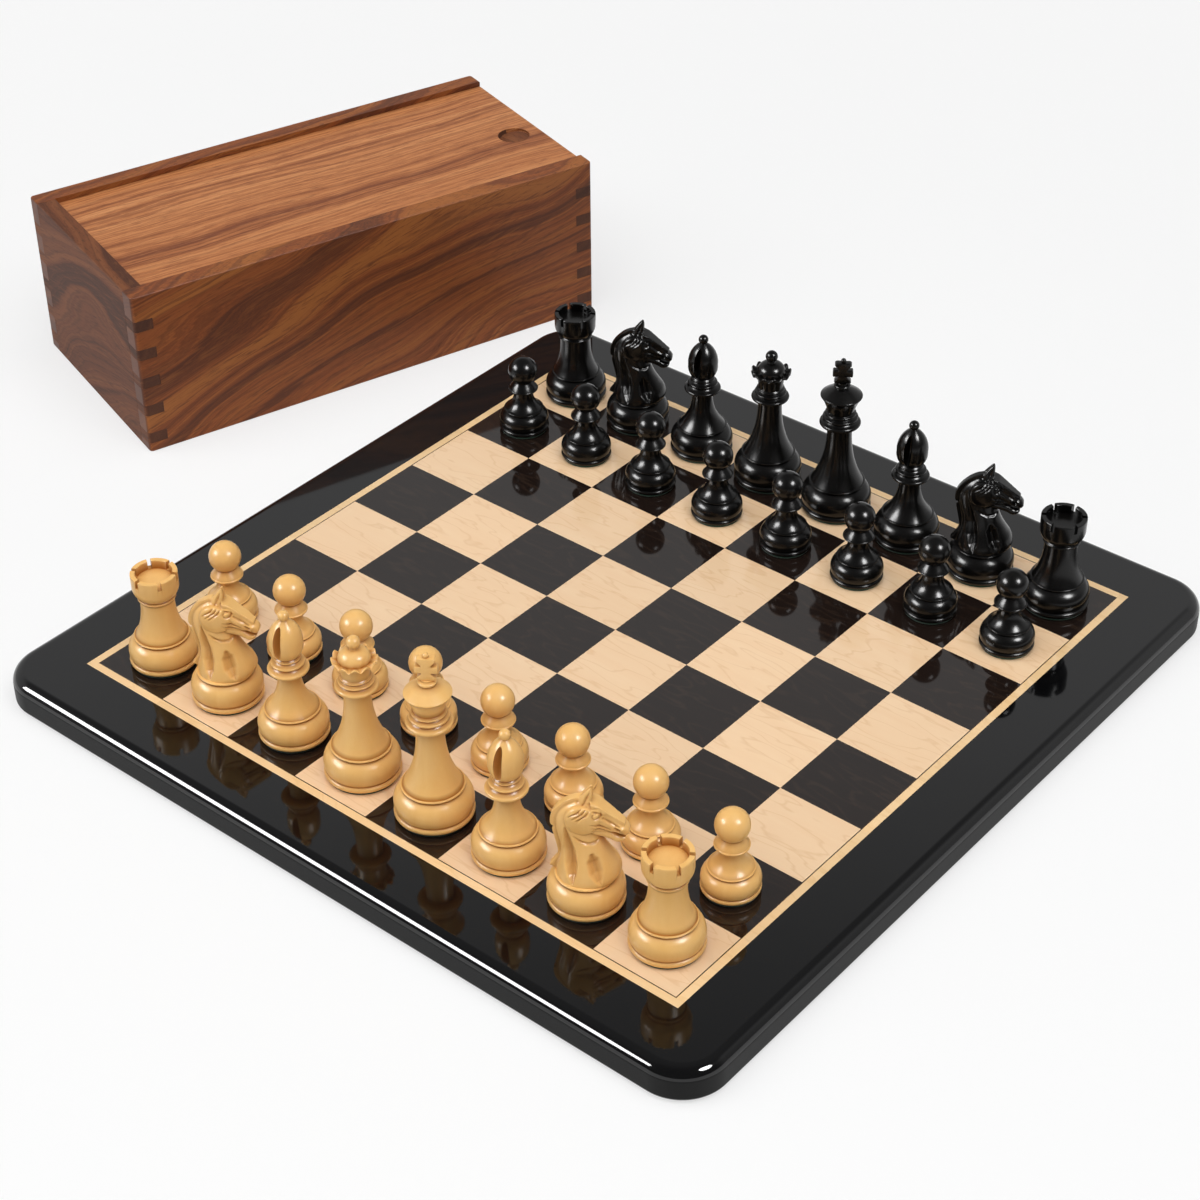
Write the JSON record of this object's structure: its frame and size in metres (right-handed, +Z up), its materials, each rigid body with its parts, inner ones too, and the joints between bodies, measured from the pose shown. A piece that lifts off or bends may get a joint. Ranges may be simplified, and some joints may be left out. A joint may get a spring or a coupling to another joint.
{
  "type": "chess set with storage box",
  "caption": "Square chess board with rounded lacquered border and inlaid field, turned and carved chessmen standing on it, and a finger-jointed storage box with a sliding lid.",
  "frame": {"origin": "middle of the board's underside, on the table that board and box stand on", "axes": "+X along the files from a to h, +Y from the white side to the black side, +Z up"},
  "size_m": [0.7499, 0.5805, 0.122],
  "materials": {
    "ebonised_lacquer": "black lacquer, high gloss",
    "dark_veneer": "ebonised veneer under clear gloss lacquer",
    "maple_veneer": "maple veneer under clear gloss lacquer",
    "maple_inlay": "maple strip under clear gloss lacquer",
    "dark_stringing": "dyed veneer line",
    "core_board": "fibreboard, sealed",
    "baize": "wool felt",
    "boxwood": "turned boxwood, satin",
    "ebonised_boxwood": "turned and ebonised, polished",
    "rosewood": "oiled Indian rosewood, satin",
    "plywood": "thin plywood, sealed"
  },
  "bodies": {
    "board": {"board_core": "core_board", "border_rail_front": "ebonised_lacquer", "border_rail_right": "ebonised_lacquer", "border_rail_back": "ebonised_lacquer", "border_rail_left": "ebonised_lacquer", "dark_squares": "dark_veneer", "light_squares": "maple_veneer", "stringing": "dark_stringing", "inlay_strips": "maple_inlay", "baize_underside": "baize"},
    "storage_box": {"box_front_wall": "rosewood", "box_back_wall": "rosewood", "box_left_wall": "rosewood", "box_right_wall": "rosewood", "box_floor": "plywood"},
    "lid": {"box_lid": "rosewood"},
    "white_rook_a": {"white_rook_a": "boxwood"},
    "white_knight_b": {"white_knight_b": "boxwood", "white_knight_b_head": "boxwood"},
    "white_bishop_c": {"white_bishop_c": "boxwood"},
    "white_queen": {"white_queen": "boxwood"},
    "white_king": {"white_king": "boxwood", "white_king_cross": "boxwood"},
    "white_bishop_f": {"white_bishop_f": "boxwood"},
    "white_knight_g": {"white_knight_g": "boxwood", "white_knight_g_head": "boxwood"},
    "white_rook_h": {"white_rook_h": "boxwood"},
    "white_pawn_a": {"white_pawn_a": "boxwood"},
    "white_pawn_b": {"white_pawn_b": "boxwood"},
    "white_pawn_c": {"white_pawn_c": "boxwood"},
    "white_pawn_d": {"white_pawn_d": "boxwood"},
    "white_pawn_e": {"white_pawn_e": "boxwood"},
    "white_pawn_f": {"white_pawn_f": "boxwood"},
    "white_pawn_g": {"white_pawn_g": "boxwood"},
    "white_pawn_h": {"white_pawn_h": "boxwood"},
    "black_rook_a": {"black_rook_a": "ebonised_boxwood"},
    "black_knight_b": {"black_knight_b": "ebonised_boxwood", "black_knight_b_head": "ebonised_boxwood"},
    "black_bishop_c": {"black_bishop_c": "ebonised_boxwood"},
    "black_queen": {"black_queen": "ebonised_boxwood"},
    "black_king": {"black_king": "ebonised_boxwood", "black_king_cross": "ebonised_boxwood"},
    "black_bishop_f": {"black_bishop_f": "ebonised_boxwood"},
    "black_knight_g": {"black_knight_g": "ebonised_boxwood", "black_knight_g_head": "ebonised_boxwood"},
    "black_rook_h": {"black_rook_h": "ebonised_boxwood"},
    "black_pawn_a": {"black_pawn_a": "ebonised_boxwood"},
    "black_pawn_b": {"black_pawn_b": "ebonised_boxwood"},
    "black_pawn_c": {"black_pawn_c": "ebonised_boxwood"},
    "black_pawn_d": {"black_pawn_d": "ebonised_boxwood"},
    "black_pawn_e": {"black_pawn_e": "ebonised_boxwood"},
    "black_pawn_f": {"black_pawn_f": "ebonised_boxwood"},
    "black_pawn_g": {"black_pawn_g": "ebonised_boxwood"},
    "black_pawn_h": {"black_pawn_h": "ebonised_boxwood"}
  },
  "joints": [
    {"name": "box_shift", "type": "slide", "parent": "board", "child": "storage_box", "axis": [-1, 0, 0], "range_m": [0, 0.15]},
    {"name": "lid_slide", "type": "slide", "parent": "storage_box", "child": "lid", "axis": [0.309, 0.9511, 0], "range_m": [0, 0.325]},
    {"name": "white_rook_a_lift", "type": "slide", "parent": "board", "child": "white_rook_a", "axis": [0, 0, 1], "range_m": [0, 0.11]},
    {"name": "white_knight_b_lift", "type": "slide", "parent": "board", "child": "white_knight_b", "axis": [0, 0, 1], "range_m": [0, 0.11]},
    {"name": "white_bishop_c_lift", "type": "slide", "parent": "board", "child": "white_bishop_c", "axis": [0, 0, 1], "range_m": [0, 0.11]},
    {"name": "white_queen_lift", "type": "slide", "parent": "board", "child": "white_queen", "axis": [0, 0, 1], "range_m": [0, 0.11]},
    {"name": "white_king_lift", "type": "slide", "parent": "board", "child": "white_king", "axis": [0, 0, 1], "range_m": [0, 0.11]},
    {"name": "white_bishop_f_lift", "type": "slide", "parent": "board", "child": "white_bishop_f", "axis": [0, 0, 1], "range_m": [0, 0.11]},
    {"name": "white_knight_g_lift", "type": "slide", "parent": "board", "child": "white_knight_g", "axis": [0, 0, 1], "range_m": [0, 0.11]},
    {"name": "white_rook_h_lift", "type": "slide", "parent": "board", "child": "white_rook_h", "axis": [0, 0, 1], "range_m": [0, 0.11]},
    {"name": "white_pawn_a_lift", "type": "slide", "parent": "board", "child": "white_pawn_a", "axis": [0, 0, 1], "range_m": [0, 0.11]},
    {"name": "white_pawn_b_lift", "type": "slide", "parent": "board", "child": "white_pawn_b", "axis": [0, 0, 1], "range_m": [0, 0.11]},
    {"name": "white_pawn_c_lift", "type": "slide", "parent": "board", "child": "white_pawn_c", "axis": [0, 0, 1], "range_m": [0, 0.11]},
    {"name": "white_pawn_d_lift", "type": "slide", "parent": "board", "child": "white_pawn_d", "axis": [0, 0, 1], "range_m": [0, 0.11]},
    {"name": "white_pawn_e_lift", "type": "slide", "parent": "board", "child": "white_pawn_e", "axis": [0, 0, 1], "range_m": [0, 0.11]},
    {"name": "white_pawn_f_lift", "type": "slide", "parent": "board", "child": "white_pawn_f", "axis": [0, 0, 1], "range_m": [0, 0.11]},
    {"name": "white_pawn_g_lift", "type": "slide", "parent": "board", "child": "white_pawn_g", "axis": [0, 0, 1], "range_m": [0, 0.11]},
    {"name": "white_pawn_h_lift", "type": "slide", "parent": "board", "child": "white_pawn_h", "axis": [0, 0, 1], "range_m": [0, 0.11]},
    {"name": "black_rook_a_lift", "type": "slide", "parent": "board", "child": "black_rook_a", "axis": [0, 0, 1], "range_m": [0, 0.11]},
    {"name": "black_knight_b_lift", "type": "slide", "parent": "board", "child": "black_knight_b", "axis": [0, 0, 1], "range_m": [0, 0.11]},
    {"name": "black_bishop_c_lift", "type": "slide", "parent": "board", "child": "black_bishop_c", "axis": [0, 0, 1], "range_m": [0, 0.11]},
    {"name": "black_queen_lift", "type": "slide", "parent": "board", "child": "black_queen", "axis": [0, 0, 1], "range_m": [0, 0.11]},
    {"name": "black_king_lift", "type": "slide", "parent": "board", "child": "black_king", "axis": [0, 0, 1], "range_m": [0, 0.11]},
    {"name": "black_bishop_f_lift", "type": "slide", "parent": "board", "child": "black_bishop_f", "axis": [0, 0, 1], "range_m": [0, 0.11]},
    {"name": "black_knight_g_lift", "type": "slide", "parent": "board", "child": "black_knight_g", "axis": [0, 0, 1], "range_m": [0, 0.11]},
    {"name": "black_rook_h_lift", "type": "slide", "parent": "board", "child": "black_rook_h", "axis": [0, 0, 1], "range_m": [0, 0.11]},
    {"name": "black_pawn_a_lift", "type": "slide", "parent": "board", "child": "black_pawn_a", "axis": [0, 0, 1], "range_m": [0, 0.11]},
    {"name": "black_pawn_b_lift", "type": "slide", "parent": "board", "child": "black_pawn_b", "axis": [0, 0, 1], "range_m": [0, 0.11]},
    {"name": "black_pawn_c_lift", "type": "slide", "parent": "board", "child": "black_pawn_c", "axis": [0, 0, 1], "range_m": [0, 0.11]},
    {"name": "black_pawn_d_lift", "type": "slide", "parent": "board", "child": "black_pawn_d", "axis": [0, 0, 1], "range_m": [0, 0.11]},
    {"name": "black_pawn_e_lift", "type": "slide", "parent": "board", "child": "black_pawn_e", "axis": [0, 0, 1], "range_m": [0, 0.11]},
    {"name": "black_pawn_f_lift", "type": "slide", "parent": "board", "child": "black_pawn_f", "axis": [0, 0, 1], "range_m": [0, 0.11]},
    {"name": "black_pawn_g_lift", "type": "slide", "parent": "board", "child": "black_pawn_g", "axis": [0, 0, 1], "range_m": [0, 0.11]},
    {"name": "black_pawn_h_lift", "type": "slide", "parent": "board", "child": "black_pawn_h", "axis": [0, 0, 1], "range_m": [0, 0.11]}
  ]
}
